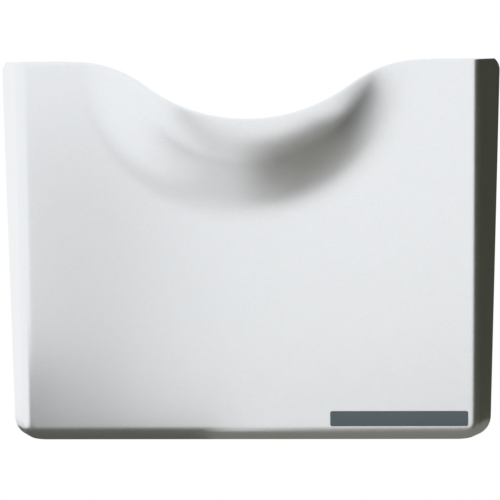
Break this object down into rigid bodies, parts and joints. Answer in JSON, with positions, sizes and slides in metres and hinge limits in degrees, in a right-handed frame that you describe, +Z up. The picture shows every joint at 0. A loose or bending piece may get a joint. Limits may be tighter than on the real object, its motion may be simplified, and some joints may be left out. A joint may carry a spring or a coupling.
{
  "type": "magnetic document pocket",
  "caption": "Open-topped silver wall pocket for A4 papers lying sideways, with a dipped front whose edge swells into a smooth lip and magnets set in the back.",
  "frame": {"origin": "middle of the flat rear face that lies on the wall, half way up the front panel", "axes": "+Z up, -Y out of the wall towards the user, +X to the right as seen from the front; the rear face lies in the plane Y = 0"},
  "size_m": [0.3302, 0.0544, 0.2503],
  "materials": {
    "silver_shell": "satin silver paint on moulded plastic",
    "charcoal_plate": "fine moulded grain, dark grey",
    "ferrite": "ground ferrite magnet, dull",
    "zinc_steel": "zinc-plated sheet steel",
    "slate_label": "thin satin adhesive label, bare"
  },
  "bodies": {
    "root": {"front_shell": "silver_shell", "back_plate": "charcoal_plate", "magnet_upper_left": "ferrite", "magnet_upper_right": "ferrite", "magnet_lower_left": "ferrite", "magnet_lower_right": "ferrite", "yoke_plate_upper_left": "zinc_steel", "yoke_plate_upper_right": "zinc_steel", "yoke_plate_lower_left": "zinc_steel", "yoke_plate_lower_right": "zinc_steel", "name_label": "slate_label"}
  },
  "joints": []
}
